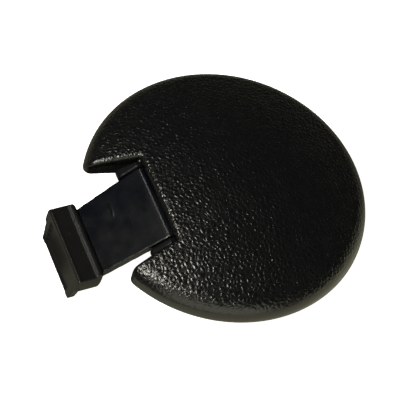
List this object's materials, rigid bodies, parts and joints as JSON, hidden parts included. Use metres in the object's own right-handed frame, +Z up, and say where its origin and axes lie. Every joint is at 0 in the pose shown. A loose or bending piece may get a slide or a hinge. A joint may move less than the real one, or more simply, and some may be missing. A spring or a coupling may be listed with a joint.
{
  "type": "desk grommet",
  "caption": "Domed desk grommet cap with leather-grain face, a cable notch and a sprung fold-down tongue whose end block hooks under the worktop.",
  "frame": {"origin": "centre of the cap's rim plane, on the axis of the dome", "axes": "+Z up along the dome's axis, -X towards the tongue and the notch, +Y across the tongue"},
  "size_m": [0.0662, 0.06, 0.0212],
  "materials": {
    "grained_plastic": "black leather grain, satin",
    "frame_plastic": "smooth satin black",
    "tongue_plastic": "smooth semi-gloss blue-black",
    "block_plastic": "smooth satin warm black",
    "pin_steel": "ground steel",
    "spring_steel": "drawn spring wire",
    "screw_steel": "zinc plated"
  },
  "bodies": {
    "cap": {"cap_shell": "grained_plastic", "inner_frame": "frame_plastic", "hinge_pin": "pin_steel", "torsion_spring": "spring_steel", "frame_screws": "screw_steel"},
    "tongue": {"tongue": "tongue_plastic", "anchor_block": "block_plastic", "block_screws": "screw_steel"}
  },
  "joints": [
    {"name": "tongue_fold", "type": "hinge", "parent": "cap", "child": "tongue", "pos_m": [-0.01605, 0, 0.0022], "axis": [0, -1, 0], "range_deg": [0, 55], "stiffness_Nm_per_rad": 0.0124, "springref_deg": -20.05, "deforming": ["torsion_spring"]}
  ]
}
